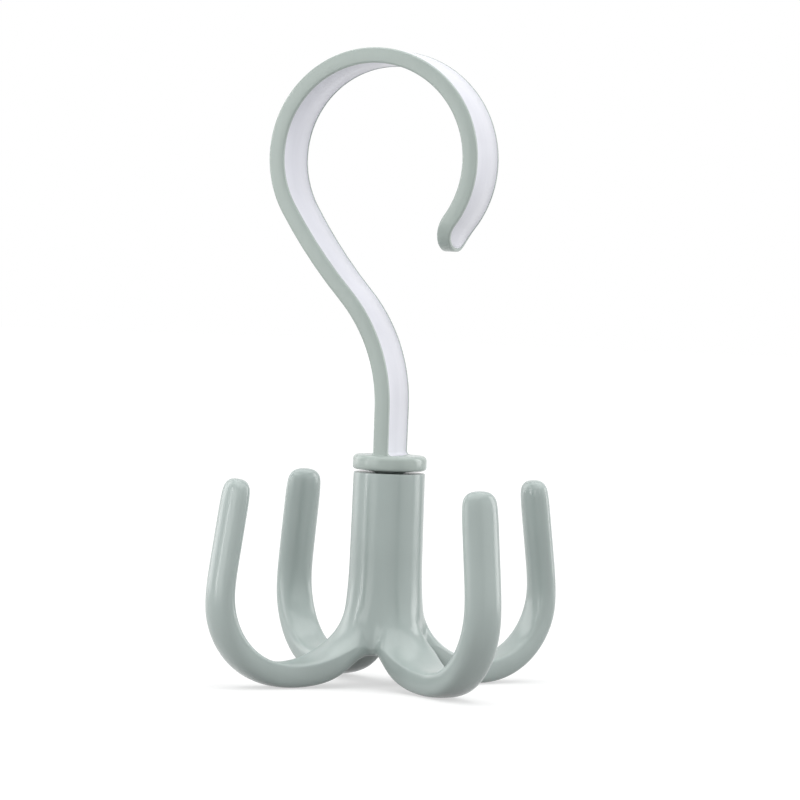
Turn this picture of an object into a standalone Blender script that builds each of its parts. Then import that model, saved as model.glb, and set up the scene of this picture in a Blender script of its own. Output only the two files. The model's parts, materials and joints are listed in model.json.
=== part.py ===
"""Rotating closet hook: a flat band hook with a snap-in swivel pin over a base of four claws.

Metres, +Z up. The origin is the rod seat, the highest point of the loop's inner face, where the
hook hangs on its rod. The hook's band lies in the XZ plane, with its depth along Y. The swivel
axis is parallel to Z, through the round flange under the band.
"""

import math

import bmesh
import bpy
from mathutils import Matrix, Vector

# The hook band, bent from one flat strip
BAND_THICKNESS = 0.0034
BAND_DEPTH_LOOP = 0.0153
BAND_DEPTH_STEM = 0.0132
BAND_EDGE_ROUND = 0.00045
LOOP_INNER_RADIUS = 0.0208
STEM_LENGTH = 0.0106
S_RADIUS = 0.0358
S_TURN = math.radians(42.8)
EASE_RADIUS = 0.112
EASE_TURN = math.radians(11.8)
TIP_BEND_RADIUS = 0.0095
TIP_TURN = math.radians(35)
TIP_STRAIGHT = 0.0014
TIP_CORNER_RADIUS = 0.0070
TIP_THINNING = 0.0005
TIP_THINNED_LENGTH = 0.0080
FOOT_FILLET = 0.0008
BAND_STEP = math.radians(8.5)
STATION_GAP = 0.0001
EDGE_STEPS = 2
TIP_RINGS = 7
FOOT_RINGS = 4

# The two colours of the hook: a thin rim round the band's edge, and the core inside it
RIM_DEPTH = 0.0008
SEAT_GAP = 0.0003
TENON_SHOULDER = 0.0012
TENON_DEPTH = 0.0012

# The round flange and the swivel pin under it
FLANGE_RADIUS = 0.00815
FLANGE_THICKNESS = 0.0033
FLANGE_TOP_ROUND = 0.0011
FLANGE_BOTTOM_ROUND = 0.0007
FLANGE_ROUND_STEPS = 4
BOSS_RADIUS = 0.0047
BOSS_HEIGHT = 0.0003
PIN_RADIUS = 0.0032
BARB_OVERHANG = 0.0010
BARB_LIP = 0.0007
BARB_LENGTH = 0.0042
BARB_NOSE_RADIUS = 0.0026
PRONG_SLOT_WIDTH = 0.0018
PRONG_SLOT_DEPTH = 0.0062
TURNED_STEPS = 40

# The base's barrel
BARREL_TOP_RADIUS = 0.0079
BARREL_FOOT_RADIUS = 0.0082
BARREL_HEIGHT = 0.0400
BARREL_EDGE = 0.0004
NECK_LENGTH = 0.0030
BORE_TOP_RADIUS = 0.0053
BORE_FOOT_RADIUS = 0.0057
NECK_CHAMFER = 0.0004

# The four claws
CLAW_COUNT = 4
CLAW_REST_TURN = math.radians(-39.4)
CLAW_WIDTH = 0.0086
CLAW_THICKNESS = 0.0054
CLAW_SPAN = 0.0882
CLAW_INNER_ARC = 0.0140
CLAW_DROP = 0.0470
CLAW_RISE = 0.0455
CLAW_LEAN = math.radians(8.3)
CLAW_TIP_DOME = 0.0027
ROOT_INNER_POWER = 6.0
ROOT_OUTER_POWER = 4.2
TIP_POWER = 2.05

# The claw's way to the barrel. The shares are of the reach from the barrel's foot to the middle
# of the claw's curve.
ROOT_FILLET_SHARE = 1.006
ROOT_TURN = math.radians(60)
ROOT_TOP_TURN = math.radians(75)
UNDERSIDE_ARC_SHARE = 0.859
UNDERSIDE_SHIFT_SHARE = 0.196
UNDERSIDE_TURN = math.radians(55)

# Where a claw grows out of the barrel. Each list runs from the root outwards.
ROOT_HALF_WIDTH = 0.0066
ROOT_WIDENING = (1.0, 0.85, 0.38)
ROOT_CROWN = (0.60, 0.24, 0.072)
ROOT_SPREAD = math.radians(10)
ROOT_CREASE = 0.8
CREASED_STATIONS = 6

# The saddle between two claws. Its rows are the upper edge, the middle and the foot.
SADDLE_START = math.radians(5)
SADDLE_REACH = math.radians(24)
SADDLE_POWER = 1.5
SADDLE_HEIGHTS = (0.0017, 0.00095, 0.0001)
SADDLE_FLARES = (0.0005, 0.00035, 0.00015)
CORNER_FLARES = (0.0012, 0.00085, 0.00035)

# The cage that the subdivision rounds off
CAGE_LEVELS = 1
COLUMNS_PER_CLAW = 6
ROOT_COLUMNS = 2
OUTER_STATIONS = 5
STRAIGHT_STATIONS = 2
UPPER_CORNERS = (0, 4)
TIP_DOME_SHARES = ((0.40, 0.86), (0.0, 0.50))

OVERRUN = 0.002
WELD = 0.00001
SHARP_FROM = math.radians(40)

SAGE = (0.427, 0.491, 0.456)
PALE = (0.745, 0.755, 0.810)


def material(name, colour, roughness):
    made = bpy.data.materials.new(name)
    made.use_nodes = True
    shader = made.node_tree.nodes["Principled BSDF"]
    shader.inputs["Base Color"].default_value = (*colour, 1.0)
    shader.inputs["Roughness"].default_value = roughness
    shader.inputs["Metallic"].default_value = 0.0
    return made


def collection(name):
    made = bpy.data.collections.new(name)
    bpy.context.scene.collection.children.link(made)
    return made


def new_object(name, bm, home, mat=None):
    bmesh.ops.recalc_face_normals(bm, faces=bm.faces)
    mesh = bpy.data.meshes.new(name)
    bm.to_mesh(mesh)
    bm.free()
    mesh.shade_smooth()
    mesh.set_sharp_from_angle(angle=SHARP_FROM)
    if mat:
        mesh.materials.append(mat)
    made = bpy.data.objects.new(name, mesh)
    home.objects.link(made)
    return made


def hide_cutter(obj):
    obj.hide_render = True
    obj.display_type = "WIRE"


def boolean(obj, other, operation):
    step = obj.modifiers.new(operation.lower() + "_" + other.name, "BOOLEAN")
    step.operation = operation
    step.solver = "EXACT"
    step.object = other


def skin(bm, first, second):
    """Quads between two rings of as many vertices."""
    count = len(first)
    for i in range(count):
        j = (i + 1) % count
        bm.faces.new((first[i], first[j], second[j], second[i]))


def turned(name, profile, home):
    """A closed solid turned about Z, from (radius, height) points that run from top to bottom."""
    bm = bmesh.new()
    points = [bm.verts.new((radius, 0, height)) for radius, height in profile]
    for upper, lower in zip(points, points[1:]):
        bm.edges.new((upper, lower))
    mesh = bpy.data.meshes.new(name)
    bm.to_mesh(mesh)
    bm.free()
    made = bpy.data.objects.new(name, mesh)
    home.objects.link(made)
    screw = made.modifiers.new("turn", "SCREW")
    screw.steps = TURNED_STEPS
    screw.render_steps = TURNED_STEPS
    screw.use_merge_vertices = True
    screw.merge_threshold = WELD
    return made


def quarter_round(radius, height, round_radius, rising):
    """Points of a rounded outer corner, from the face to the side, or from the side to the face."""
    points = []
    for i in range(FLANGE_ROUND_STEPS + 1):
        turn = math.pi / 2 * i / FLANGE_ROUND_STEPS
        if rising:
            across, down = math.sin(turn), 1 - math.cos(turn)
            points.append((radius - round_radius + round_radius * across, height - round_radius * down))
        else:
            across, up = math.cos(turn), 1 - math.sin(turn)
            points.append((radius - round_radius + round_radius * across, height + round_radius * up))
    return points


# The band's path, walked from the flange up round the loop to the tip

def right_of(heading):
    return Vector((math.cos(heading), 0, -math.sin(heading)))


def ahead_of(heading):
    return Vector((math.sin(heading), 0, math.cos(heading)))


def path_segments():
    """(length, turn) of each stretch. A turn to the right is positive."""
    loop_radius = LOOP_INNER_RADIUS + BAND_THICKNESS / 2
    loop_turn = math.pi + S_TURN - EASE_TURN + TIP_TURN
    return [
        (STEM_LENGTH, 0.0),
        (S_RADIUS * S_TURN, -S_TURN),
        (EASE_RADIUS * EASE_TURN, EASE_TURN),
        (loop_radius * loop_turn, loop_turn),
        (TIP_BEND_RADIUS * TIP_TURN, -TIP_TURN),
        (TIP_STRAIGHT, 0.0),
    ]


def path_point(distance):
    """(point, heading) at this distance along the path, from the flange's top face on the axis."""
    point, heading = Vector((0, 0, 0)), 0.0
    segments = path_segments()
    for index, (length, turn) in enumerate(segments):
        last = index == len(segments) - 1
        part = distance if last or distance < length else length
        if turn:
            radius = length / turn
            swung = part / radius
            centre = point + radius * right_of(heading)
            heading += swung
            point = centre - radius * right_of(heading)
        else:
            point = point + part * ahead_of(heading)
        distance -= part
        if distance <= 0:
            break
    return point, heading


def path_length():
    return sum(length for length, turn in path_segments())


def rod_seat_from_flange():
    """The highest point of the loop's inner face, from the flange's top face on the axis."""
    segments = path_segments()
    to_loop = sum(length for length, turn in segments[:3])
    point, heading = path_point(to_loop)
    loop_radius = LOOP_INNER_RADIUS + BAND_THICKNESS / 2
    centre = point + loop_radius * right_of(heading)
    return centre + Vector((0, 0, LOOP_INNER_RADIUS))


def foot_flare(distance):
    """How far the fillet at the flange stands out from the band's broad faces."""
    rest = min(FOOT_FILLET, max(0.0, FOOT_FILLET - distance))
    return FOOT_FILLET - math.sqrt(FOOT_FILLET**2 - rest**2)


def tip_thinning(distance):
    """How far the band's outer face draws in towards the end of the tip."""
    left = path_length() - distance
    share = min(1.0, max(0.0, 1 - left / TIP_THINNED_LENGTH))
    return TIP_THINNING * (3 * share**2 - 2 * share**3)


def band_stations(start):
    """(distance, turn round the tip's corner) of each ring: closest at the tip and the foot."""
    quarter = math.pi / 2
    stops = [FOOT_FILLET * (1 - math.cos(quarter * i / FOOT_RINGS)) for i in range(FOOT_RINGS + 1)]
    passed = 0.0
    for length, turn in path_segments():
        count = max(1, math.ceil(abs(turn) / BAND_STEP))
        stops += [passed + length * (i + 1) / count for i in range(count)]
        passed += length
    corner_start = passed - TIP_CORNER_RADIUS
    stations = [(start, 0.0)]
    stations += [(s, 0.0) for s in stops if start + STATION_GAP < s < corner_start - STATION_GAP]
    turns = [quarter * i / TIP_RINGS for i in range(TIP_RINGS + 1)]
    return stations + [(corner_start + TIP_CORNER_RADIUS * math.sin(turn), turn) for turn in turns]


def band_point(station, side, drawn_in, height_share, round_off=0.0):
    """A point of the band at a station, on the near side (-1) or the far side (1).

    It lies this far in from the band's edge, and at this share of half its thickness. Round the
    tip's own corners the points fan out, so that what is drawn in keeps its width there.
    """
    distance, turn = station
    to_loop = sum(length for length, turned in path_segments()[:3])
    share = min(1.0, max(0.0, distance / to_loop))
    depth = BAND_DEPTH_STEM + (BAND_DEPTH_LOOP - BAND_DEPTH_STEM) * share
    half = depth / 2 - TIP_CORNER_RADIUS * (1 - math.cos(turn)) - drawn_in * math.cos(turn)
    point, heading = path_point(distance - drawn_in * math.sin(turn))
    thickness = BAND_THICKNESS / 2 + foot_flare(distance) - round_off
    if height_share < 0:
        thickness -= tip_thinning(distance)
    return point + right_of(heading) * thickness * height_share + Vector((0, side * half, 0))


def make_rim(home, mat):
    """The rim, lofted up the band's near edge, round the tip and down the far edge."""
    bm = bmesh.new()
    bends = [math.pi / 2 * i / EDGE_STEPS for i in range(EDGE_STEPS + 1)]
    section = [(BAND_EDGE_ROUND * (1 - math.cos(b)), BAND_EDGE_ROUND * (1 - math.sin(b))) for b in bends]
    section.append((RIM_DEPTH, 0.0))
    stations = band_stations(-FLANGE_THICKNESS / 2)
    rings = []
    for side, row in ((-1, stations), (1, reversed(stations))):
        for station in row:
            upper = [band_point(station, side, inner, 1, lower) for inner, lower in section]
            under = [band_point(station, side, inner, -1, lower) for inner, lower in section]
            rings.append([bm.verts.new(place) for place in upper[::-1] + under])
    for first, second in zip(rings, rings[1:]):
        skin(bm, first, second)
    bm.faces.new(rings[0])
    bm.faces.new(reversed(rings[-1]))
    return new_object("hook_frame", bm, home, mat)


def make_core(home, mat):
    """The core, lofted along the band inside the rim, a gap away from it and from the flange."""
    bm = bmesh.new()
    drawn_in = RIM_DEPTH + SEAT_GAP
    around = ((-1, 1), (1, 1), (1, -1), (-1, -1))
    rings = []
    for station in band_stations(SEAT_GAP):
        rings.append([bm.verts.new(band_point(station, side, drawn_in, face)) for side, face in around])
    for first, second in zip(rings, rings[1:]):
        skin(bm, first, second)
    bm.faces.new(rings[0])
    bm.faces.new(reversed(rings[-1]))
    return new_object("hook_core", bm, home, mat)


def block(name, size, middle, home, turn=0.0):
    bm = bmesh.new()
    bmesh.ops.create_cube(bm, size=1.0)
    bmesh.ops.scale(bm, vec=size, verts=bm.verts)
    bmesh.ops.translate(bm, vec=middle, verts=bm.verts)
    bmesh.ops.rotate(bm, cent=(0, 0, 0), matrix=Matrix.Rotation(turn, 3, "Z"), verts=bm.verts)
    return new_object(name, bm, home)


def swivel_profile():
    """The flange, its boss, the pin and the barbed head, turned about the axis from the flange's top."""
    neck_foot = FLANGE_THICKNESS + BOSS_HEIGHT + SEAT_GAP + NECK_LENGTH
    barb_top = -(neck_foot + SEAT_GAP)
    barb_radius = PIN_RADIUS + SEAT_GAP + BARB_OVERHANG
    profile = [(0, 0)]
    profile += quarter_round(FLANGE_RADIUS, 0, FLANGE_TOP_ROUND, True)
    profile += quarter_round(FLANGE_RADIUS, -FLANGE_THICKNESS, FLANGE_BOTTOM_ROUND, False)
    profile += [
        (BOSS_RADIUS, -FLANGE_THICKNESS),
        (BOSS_RADIUS, -FLANGE_THICKNESS - BOSS_HEIGHT),
        (PIN_RADIUS, -FLANGE_THICKNESS - BOSS_HEIGHT),
        (PIN_RADIUS, barb_top),
        (barb_radius, barb_top),
        (barb_radius, barb_top - BARB_LIP),
        (BARB_NOSE_RADIUS, barb_top - BARB_LENGTH),
        (0, barb_top - BARB_LENGTH),
    ]
    return profile


def slot_cutter(turn, home):
    """A slot across the barbed head, so that its prongs can spring inwards."""
    foot = FLANGE_THICKNESS + BOSS_HEIGHT + SEAT_GAP + NECK_LENGTH + SEAT_GAP + BARB_LENGTH
    size = (2 * FLANGE_RADIUS, PRONG_SLOT_WIDTH, PRONG_SLOT_DEPTH + OVERRUN)
    middle = (0, 0, -foot + PRONG_SLOT_DEPTH - size[2] / 2)
    return block("prong_slot", size, middle, home, turn)


def core_tenon(name, clearance, home):
    """The core's tenon, or with a clearance the mortise that takes it in the flange's top face."""
    width = BAND_THICKNESS + 2 * clearance
    depth = BAND_DEPTH_STEM - 2 * (RIM_DEPTH + SEAT_GAP + TENON_SHOULDER - clearance)
    height = TENON_DEPTH + clearance + FOOT_FILLET
    return block(name, (width, depth, height), (0, 0, FOOT_FILLET - height / 2), home)


def make_hook(home, cutters, sage, pale):
    frame = make_rim(home, sage)
    swivel = turned("swivel_blank", swivel_profile(), cutters)
    mortise = core_tenon("core_mortise", SEAT_GAP, cutters)
    slots = [slot_cutter(turn, cutters) for turn in (0.0, math.pi / 2)]
    core = make_core(home, pale)
    tenon = core_tenon("core_tenon", 0.0, cutters)
    boolean(frame, swivel, "UNION")
    for cutter in [mortise] + slots:
        boolean(frame, cutter, "DIFFERENCE")
    boolean(core, tenon, "UNION")
    helpers = [swivel, mortise, tenon] + slots
    for helper in helpers:
        hide_cutter(helper)
    seat = rod_seat_from_flange()
    for obj in [frame, core] + helpers:
        obj.location = -seat


# The base of four claws, from a coarse cage

def round_boost(step):
    """What one subdivision takes off a round form with a vertex at each step of this angle."""
    return 8 / (6 + 2 * math.cos(step))


def barrel_radius(height):
    """The barrel's outer radius at this height below its top face."""
    share = min(1.0, -height / BARREL_HEIGHT)
    return BARREL_TOP_RADIUS + (BARREL_FOOT_RADIUS - BARREL_TOP_RADIUS) * share


def claw_arc_centre():
    """(radius, height) of the middle of the claw's curve, from the barrel's top face."""
    return CLAW_SPAN / 2 - CLAW_THICKNESS - CLAW_INNER_ARC, -CLAW_DROP + CLAW_THICKNESS + CLAW_INNER_ARC


def root_reach():
    """From the barrel's foot to the middle of the claw's curve."""
    return claw_arc_centre()[0] - BARREL_FOOT_RADIUS


def on_arc(centre, radius, turn):
    """The point at this turn from straight down, outwards for a positive turn."""
    return centre[0] + radius * math.sin(turn), centre[1] - radius * math.cos(turn)


def claw_stations():
    """(inner point, outer point, half width, powers, crown) of each cross-section.

    The points are (radius, height) pairs. The inner and the outer half each have a power, and a
    higher one makes that half boxier. A crown lets the inner face fall off to its sides, so that
    it runs on into the barrel's round.
    """
    centre = claw_arc_centre()
    fillet, under_arc = ROOT_FILLET_SHARE * root_reach(), UNDERSIDE_ARC_SHARE * root_reach()
    root_centre = (centre[0], centre[1] - CLAW_INNER_ARC + fillet)
    under_centre = (centre[0] - UNDERSIDE_SHIFT_SHARE * root_reach(), under_arc - CLAW_DROP)
    outer_arc = CLAW_INNER_ARC + CLAW_THICKNESS
    stations = []
    boost = round_boost(ROOT_TURN / len(ROOT_WIDENING))
    for i, (widening, crown) in enumerate(zip(ROOT_WIDENING, ROOT_CROWN)):
        share = 1 - i / len(ROOT_WIDENING)
        inner = on_arc(root_centre, fillet * boost, -ROOT_TURN * share)
        outer = on_arc(under_centre, under_arc * boost, -UNDERSIDE_TURN * share)
        width = CLAW_WIDTH / 2 + (ROOT_HALF_WIDTH - CLAW_WIDTH / 2) * widening
        stations.append((inner, outer, width, (ROOT_INNER_POWER, ROOT_OUTER_POWER), crown))
    arc_end = math.pi / 2 + CLAW_LEAN
    boost = round_boost(arc_end / OUTER_STATIONS)
    for i in range(OUTER_STATIONS + 1):
        turn = arc_end * i / OUTER_STATIONS
        rounded = 1.0 if i == OUTER_STATIONS else boost
        inner = on_arc(centre, CLAW_INNER_ARC * rounded, turn)
        outer = on_arc(centre, outer_arc * rounded, turn)
        powers = (ROOT_INNER_POWER + (TIP_POWER - ROOT_INNER_POWER) * (turn / arc_end) ** 2,
                  TIP_POWER + (ROOT_OUTER_POWER - TIP_POWER) * (1 - turn / arc_end) ** 2)
        stations.append((inner, outer, CLAW_WIDTH / 2, powers, 0.0))
    along = (-math.sin(CLAW_LEAN), math.cos(CLAW_LEAN))
    inner, outer, width, powers, crown = stations[-1]
    straight = (-CLAW_DROP + CLAW_RISE - (inner[1] + outer[1]) / 2) / along[1]
    upright = straight - CLAW_TIP_DOME
    ends = [(upright * (i + 1) / (STRAIGHT_STATIONS + 1), 1.0) for i in range(STRAIGHT_STATIONS + 1)]
    ends += [(straight - CLAW_TIP_DOME * short, scale) for short, scale in TIP_DOME_SHARES]
    for length, scale in ends:
        middle = [(a + b) / 2 for a, b in zip(inner, outer)]
        pair = [tuple(m + (p - m) * scale + d * length for p, m, d in zip(side, middle, along))
                for side in (inner, outer)]
        stations.append((*pair, width * scale, powers, crown))
    return stations


def section_ring(bm, station, turn):
    """Twelve vertices round a cross-section: five on the inner face, five on the outer, one each side."""
    inner, outer, width, powers, crown = station
    boost = round_boost(math.radians(30))
    middle = ((inner[0] + outer[0]) / 2, (inner[1] + outer[1]) / 2)
    up = ((inner[0] - outer[0]) / 2, (inner[1] - outer[1]) / 2)
    spin = Matrix.Rotation(turn, 3, "Z")
    ring = []
    for i in range(12):
        angle = math.radians(30) * (5 - i)
        cos, sin = math.cos(angle), math.sin(angle)
        power = powers[0] if i < 6 else powers[1]
        side = boost * math.copysign(abs(cos) ** (2 / power), cos)
        rise = boost * math.copysign(abs(sin) ** (2 / power), sin)
        rise -= crown * abs(side) * (rise + 1)
        local = Vector((middle[0] + up[0] * rise, width * side, middle[1] + up[1] * rise))
        ring.append(bm.verts.new(spin @ local))
    return ring


def between_claws(angle):
    """0 at a claw's root, growing to 1 half way to the next claw."""
    pitch = 2 * math.pi / CLAW_COUNT
    off = abs((angle + pitch / 2) % pitch - pitch / 2)
    return min(1.0, max(0.0, (off - SADDLE_START) / SADDLE_REACH)) ** SADDLE_POWER


def make_claw_base(home, cutters, sage, flange_foot):
    bm = bmesh.new()
    columns = CLAW_COUNT * COLUMNS_PER_CLAW
    boost = round_boost(2 * math.pi / columns)

    def barrel_ring(height, drawn_in=0.0, spread=0.0, row=None):
        """A ring at this height at the claws. A row of the root runs lower and flares between them."""
        ring = []
        for i in range(columns):
            angle = 2 * math.pi * i / columns
            level, flare = height, 0.0
            if row is not None:
                level += (SADDLE_HEIGHTS[row] - BARREL_HEIGHT - height) * between_claws(angle)
                flares = {ROOT_COLUMNS: CORNER_FLARES[row], COLUMNS_PER_CLAW // 2: SADDLE_FLARES[row]}
                flare = flares.get(min(i % COLUMNS_PER_CLAW, -i % COLUMNS_PER_CLAW), 0.0)
            radius = (barrel_radius(level) - drawn_in) * boost + flare
            angle += spread * math.sin(CLAW_COUNT * angle)
            ring.append(bm.verts.new((radius * math.cos(angle), radius * math.sin(angle), level)))
        return ring

    root_start = ROOT_FILLET_SHARE * root_reach() - CLAW_DROP + CLAW_THICKNESS
    root_top = root_start - ROOT_FILLET_SHARE * root_reach() * math.cos(ROOT_TOP_TURN)
    root_middle = (root_top - BARREL_HEIGHT) / 2
    foot = -BARREL_HEIGHT
    plain_rows = (0.0, -BARREL_EDGE, root_start / 3, root_start * 2 / 3, root_start)
    rings = [barrel_ring(0.0, BARREL_EDGE)] + [barrel_ring(height) for height in plain_rows]
    root_rows = enumerate((root_top, root_middle, foot))
    rings += [barrel_ring(height, 0.0, ROOT_SPREAD, row) for row, height in root_rows]
    rings.append(barrel_ring(foot, (BARREL_FOOT_RADIUS - BORE_FOOT_RADIUS) * 2 / 3, ROOT_SPREAD))
    bm.faces.new(rings[0])
    bm.faces.new(reversed(rings[-1]))
    top_row, middle_row, foot_row = rings[-4], rings[-3], rings[-2]
    for upper, lower in zip(rings, rings[1:]):
        if upper is top_row or upper is middle_row:
            continue
        skin(bm, upper, lower)
    crease = bm.edges.layers.float.new("crease_edge")
    for claw in range(CLAW_COUNT):
        first = claw * COLUMNS_PER_CLAW
        for i in range(ROOT_COLUMNS, COLUMNS_PER_CLAW - ROOT_COLUMNS):
            a, b = (first + i) % columns, (first + i + 1) % columns
            bm.faces.new((top_row[a], top_row[b], middle_row[b], middle_row[a]))
            bm.faces.new((middle_row[a], middle_row[b], foot_row[b], foot_row[a]))
            bm.edges.get((top_row[a], top_row[b]))[crease] = ROOT_CREASE
        span = range(-ROOT_COLUMNS, ROOT_COLUMNS + 1)
        ring = [top_row[(first + i) % columns] for i in span]
        ring.append(middle_row[(first + ROOT_COLUMNS) % columns])
        ring += [foot_row[(first - i) % columns] for i in span]
        ring.append(middle_row[(first - ROOT_COLUMNS) % columns])
        turn = 2 * math.pi * claw / CLAW_COUNT
        for number, station in enumerate(claw_stations()):
            following = section_ring(bm, station, turn)
            skin(bm, ring, following)
            for corner in UPPER_CORNERS:
                fading = max(0.0, 1 - number / CREASED_STATIONS)
                bm.edges.get((ring[corner], following[corner]))[crease] = ROOT_CREASE * fading
            ring = following
        bm.faces.new(ring)
    base = new_object("claw_base", bm, home, sage)
    smooth = base.modifiers.new("round_off", "SUBSURF")
    smooth.levels = CAGE_LEVELS
    smooth.render_levels = CAGE_LEVELS
    neck_radius = PIN_RADIUS + SEAT_GAP
    bore = turned(
        "swivel_bore",
        [
            (0, OVERRUN),
            (neck_radius + NECK_CHAMFER + OVERRUN, OVERRUN),
            (neck_radius, -NECK_CHAMFER),
            (neck_radius, -NECK_LENGTH),
            (BORE_TOP_RADIUS, -NECK_LENGTH),
            (BORE_FOOT_RADIUS, -BARREL_HEIGHT - OVERRUN),
            (0, -BARREL_HEIGHT - OVERRUN),
        ],
        cutters,
    )
    hide_cutter(bore)
    boolean(base, bore, "DIFFERENCE")
    for obj in (base, bore):
        obj.location = flange_foot
        obj.rotation_euler = (0, 0, CLAW_REST_TURN)


def main():
    for obj in list(bpy.data.objects):
        bpy.data.objects.remove(obj)
    home = collection("rotating_closet_hook")
    cutters = collection("cutters")
    sage = material("sage_gloss_plastic", SAGE, 0.28)
    pale = material("pale_gloss_plastic", PALE, 0.25)
    make_hook(home, cutters, sage, pale)
    drop = FLANGE_THICKNESS + BOSS_HEIGHT + SEAT_GAP
    barrel_top = -rod_seat_from_flange() - Vector((0, 0, drop))
    make_claw_base(home, cutters, sage, barrel_top)


main()
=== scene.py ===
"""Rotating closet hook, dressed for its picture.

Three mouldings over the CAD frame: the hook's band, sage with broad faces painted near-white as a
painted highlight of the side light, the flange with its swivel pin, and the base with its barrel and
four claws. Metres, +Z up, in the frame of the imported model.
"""

import json
import math

import bmesh
import bpy
from mathutils import Matrix, Vector

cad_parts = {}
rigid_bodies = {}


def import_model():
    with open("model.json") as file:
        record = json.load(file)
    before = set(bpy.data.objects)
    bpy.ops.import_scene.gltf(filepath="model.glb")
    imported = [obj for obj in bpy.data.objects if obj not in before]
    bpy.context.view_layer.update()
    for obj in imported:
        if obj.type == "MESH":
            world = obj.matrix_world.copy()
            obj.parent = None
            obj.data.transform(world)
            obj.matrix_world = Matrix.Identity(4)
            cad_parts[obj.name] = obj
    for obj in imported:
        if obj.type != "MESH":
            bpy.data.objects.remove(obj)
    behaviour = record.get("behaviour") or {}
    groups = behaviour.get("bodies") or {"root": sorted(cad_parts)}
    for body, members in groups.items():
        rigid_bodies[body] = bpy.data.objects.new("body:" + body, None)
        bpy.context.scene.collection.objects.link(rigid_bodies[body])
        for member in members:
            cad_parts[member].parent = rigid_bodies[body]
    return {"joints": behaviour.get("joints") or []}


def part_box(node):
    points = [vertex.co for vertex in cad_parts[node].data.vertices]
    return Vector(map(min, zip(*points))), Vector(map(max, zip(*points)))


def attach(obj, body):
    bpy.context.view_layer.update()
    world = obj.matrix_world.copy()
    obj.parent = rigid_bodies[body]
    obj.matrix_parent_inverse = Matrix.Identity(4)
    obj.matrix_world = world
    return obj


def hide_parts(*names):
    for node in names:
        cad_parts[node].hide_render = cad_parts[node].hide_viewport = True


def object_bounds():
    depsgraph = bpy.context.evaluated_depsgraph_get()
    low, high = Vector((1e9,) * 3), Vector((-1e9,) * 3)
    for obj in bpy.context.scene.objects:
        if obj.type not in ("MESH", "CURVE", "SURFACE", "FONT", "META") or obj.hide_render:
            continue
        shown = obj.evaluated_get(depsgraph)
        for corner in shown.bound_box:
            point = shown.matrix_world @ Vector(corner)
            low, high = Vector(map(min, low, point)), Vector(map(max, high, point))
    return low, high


bl_info = {
    "name": "Rotating closet hook",
    "version": (1, 0, 0),
    "blender": (4, 5, 0),
    "location": "3D View > Sidebar > Closet hook",
    "description": "Builds the moulded pieces of a rotating closet hook and its studio stage",
    "category": "Add Mesh",
}

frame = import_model()
CAD_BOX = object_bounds()
AXIS_X = frame["joints"][0]["pos_m"][0]
BARREL_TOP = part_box("claw_base")[1].z

# Distances below which two points count as one, when welding and when looking a point up
WELD = 0.00001
TOUCH = 0.000002
# How far a cutter reaches past what it cuts
OVERRUN = 0.002
# Degrees from which an edge counts as sharp: for a bevel, for a bevel of walls only, for the shading
SHARP, WALL_SHARP, SHADED_SHARP = 55, 70, 40


# Properties

def length(name, description, metres):
    return bpy.props.FloatProperty(
        name=name, description=description, default=metres, min=0.0, unit="LENGTH", precision=5
    )


def angle(name, description, degrees):
    return bpy.props.FloatProperty(
        name=name, description=description, default=math.radians(degrees), subtype="ANGLE"
    )


def number(name, description, value):
    return bpy.props.FloatProperty(name=name, description=description, default=value, min=0.0)


def steps(name, description, count):
    return bpy.props.IntProperty(name=name, description=description, default=count, min=1)


def linear(hex_colour):
    """An sRGB hex colour as linear values, which Blender's colours are."""
    values = [int(hex_colour[i:i + 2], 16) / 255 for i in (1, 3, 5)]
    return tuple(v / 12.92 if v <= 0.04045 else ((v + 0.055) / 1.055) ** 2.4 for v in values)


def colour(name, description, hex_colour):
    return bpy.props.FloatVectorProperty(
        name=name, description=description, default=linear(hex_colour), subtype="COLOR",
        min=0.0, max=1.0
    )


class BandSizes(bpy.types.PropertyGroup):
    thickness: length("Thickness", "Thickness of the flat strip that the band is bent from", 0.0034)
    depth_at_loop: length("Depth at loop", "Width of the strip round the loop", 0.0153)
    depth_at_stem: length("Depth at stem", "Width of the strip at the flange", 0.0132)
    edge_round: length("Edge round", "Radius along the strip's four long edges", 0.00045)
    loop_radius: length("Loop inner radius", "Inner radius of the loop that goes over the rod", 0.0208)
    stem_length: length("Stem length", "Straight stretch above the flange", 0.0106)
    s_radius: length("S radius", "Radius of the bend that carries the stem out to the loop", 0.0358)
    s_turn: angle("S turn", "Turn of the bend that carries the stem out to the loop", 42.8)
    ease_radius: length("Ease radius", "Radius of the slow bend that leads into the loop", 0.112)
    ease_turn: angle("Ease turn", "Turn of the slow bend that leads into the loop", 11.8)
    tip_radius: length("Tip bend radius", "Radius of the flick at the loop's mouth", 0.0095)
    tip_turn: angle("Tip turn", "Turn of the flick at the loop's mouth", 35.0)
    tip_straight: length("Tip straight", "Straight end after the flick", 0.0014)
    tip_corner: length("Tip corner radius", "Radius of the tip's two corners", 0.0070)
    tip_thinning: length("Tip thinning", "How much thinner the band ends than it is elsewhere", 0.0005)
    tip_thinned: length("Thinned length", "Length over which the tip grows thinner", 0.0080)
    foot_fillet: length("Foot fillet", "Radius where the band meets the flange", 0.0008)
    rim_depth: length("Rim depth", "How far the sage rim reaches in over the broad faces", 0.0008)
    core_dip: length("Core dip", "How far the pale face lies below the rim along the joint", 0.00007)
    joint_round: length("Joint round", "Radius of the two fine edges along the joint", 0.00006)
    ring_step: angle("Ring step", "Turn between two rings of the band's mesh", 2.4)
    corner_rings: steps("Corner rings", "Rings round each of the tip's corners", 14)


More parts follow.
